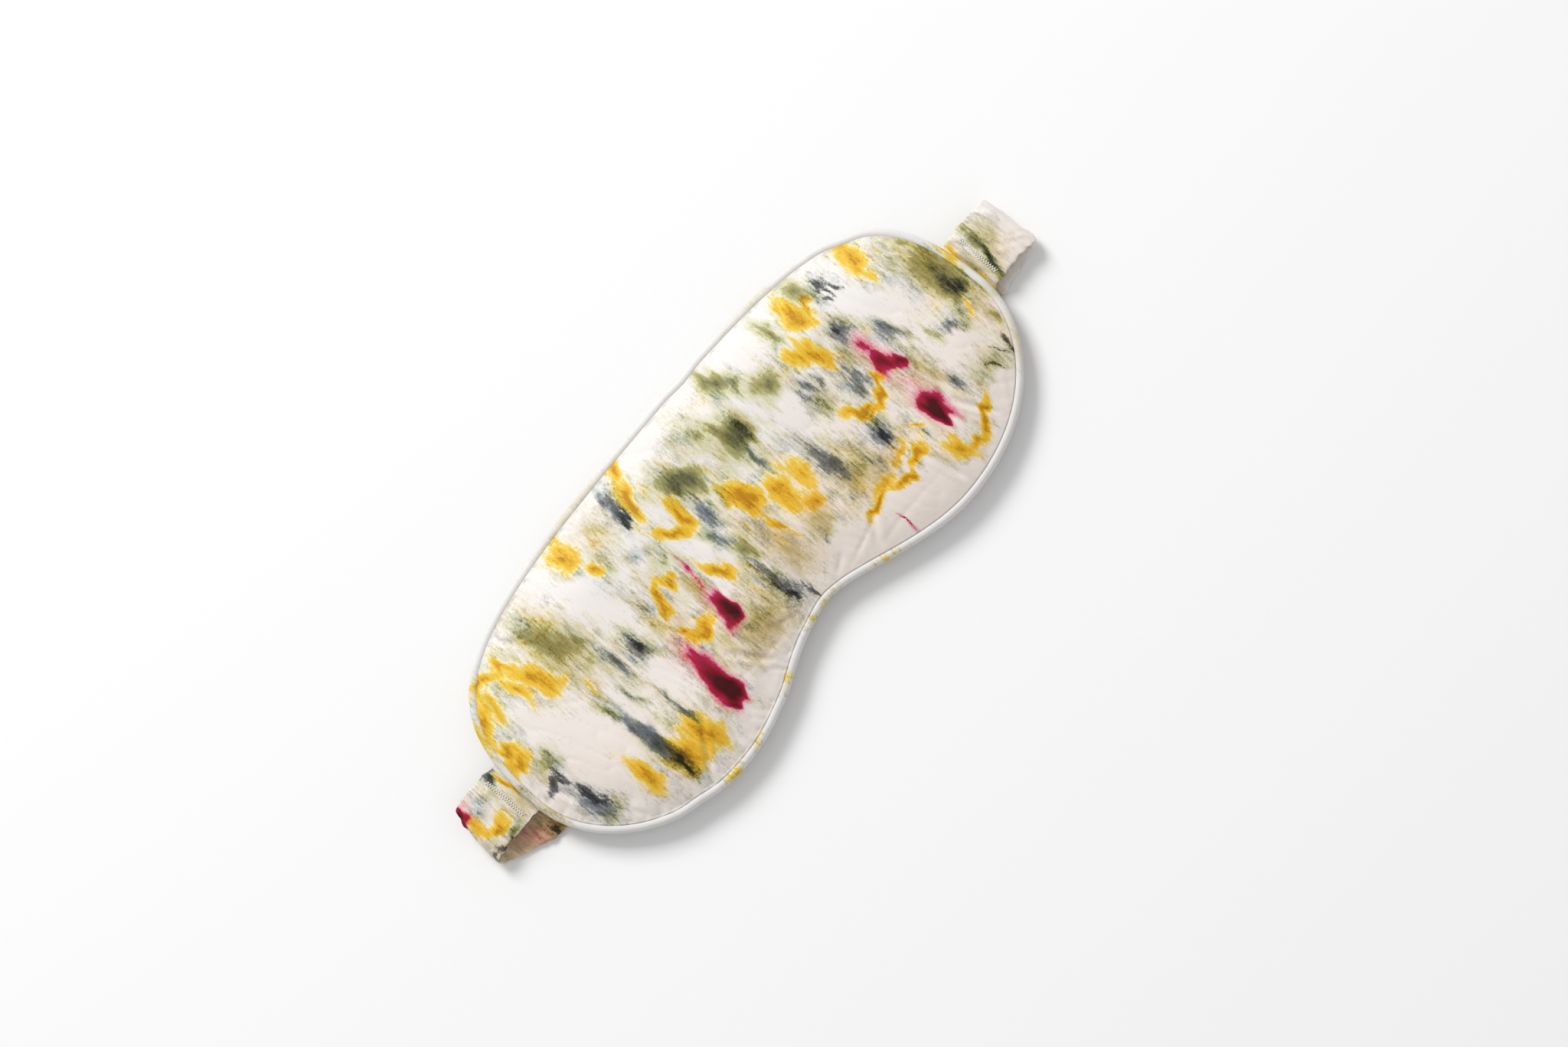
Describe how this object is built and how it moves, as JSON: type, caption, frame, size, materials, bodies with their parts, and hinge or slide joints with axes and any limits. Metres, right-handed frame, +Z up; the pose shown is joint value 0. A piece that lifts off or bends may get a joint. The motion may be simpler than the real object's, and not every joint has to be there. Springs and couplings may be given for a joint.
{
  "type": "padded sleep mask",
  "caption": "Padded silk eye mask with a piped edge and a silk-cased elastic head strap folded flat behind it; the strap swings open into a loop.",
  "frame": {"origin": "on the surface the strap lies on, under the middle of the mask's outline", "axes": "+X along the mask's width, +Y towards the brow, +Z up out of the printed face"},
  "size_m": [0.25, 0.0931, 0.0125],
  "materials": {
    "printed_silk": "satin silk dyed in marigold, crimson, olive and slate blotches",
    "plain_silk": "undyed satin silk",
    "wadding": "matt fibre wadding",
    "blackout_cloth": "matt close-woven cloth",
    "cotton_cord": "twisted cotton",
    "elastic_web": "ribbed woven elastic",
    "sewing_thread": "twisted polyester thread"
  },
  "bodies": {
    "mask": {"front_cover": "printed_silk", "front_batting": "wadding", "blackout_layer": "blackout_cloth", "back_batting": "wadding", "back_cover": "plain_silk", "piping_cover": "plain_silk", "piping_cord": "cotton_cord"},
    "left_strap_tab": {"left_tab_casing": "printed_silk", "left_tab_elastic": "elastic_web", "left_bartack": "sewing_thread"},
    "left_strap_run": {"left_run_casing": "printed_silk", "left_run_elastic": "elastic_web"},
    "right_strap_tab": {"right_tab_casing": "printed_silk", "right_tab_elastic": "elastic_web", "right_bartack": "sewing_thread"},
    "right_strap_run": {"right_run_casing": "printed_silk", "right_run_elastic": "elastic_web"}
  },
  "joints": [
    {"name": "left_seam_hinge", "type": "hinge", "parent": "mask", "child": "left_strap_tab", "pos_m": [-0.1067, 0.002, 0.006], "axis": [0, -1, 0], "range_deg": [0, 90]},
    {"name": "right_seam_hinge", "type": "hinge", "parent": "mask", "child": "right_strap_tab", "pos_m": [0.1067, 0.002, 0.006], "axis": [0, -1, 0], "range_deg": [-90, 0]},
    {"name": "left_fold_hinge", "type": "hinge", "parent": "left_strap_tab", "child": "left_strap_run", "pos_m": [-0.125, 0.002, 0.006], "axis": [0, -1, 0], "range_deg": [-121, 0]},
    {"name": "right_fold_hinge", "type": "hinge", "parent": "right_strap_tab", "child": "right_strap_run", "pos_m": [0.125, 0.002, 0.006], "axis": [0, -1, 0], "range_deg": [0, 121]}
  ],
  "couplings": [
    {"joint": "right_seam_hinge", "follows": "left_seam_hinge", "ratio": -1},
    {"joint": "left_fold_hinge", "follows": "left_seam_hinge", "ratio": -1.34},
    {"joint": "right_fold_hinge", "follows": "left_seam_hinge", "ratio": 1.34}
  ]
}
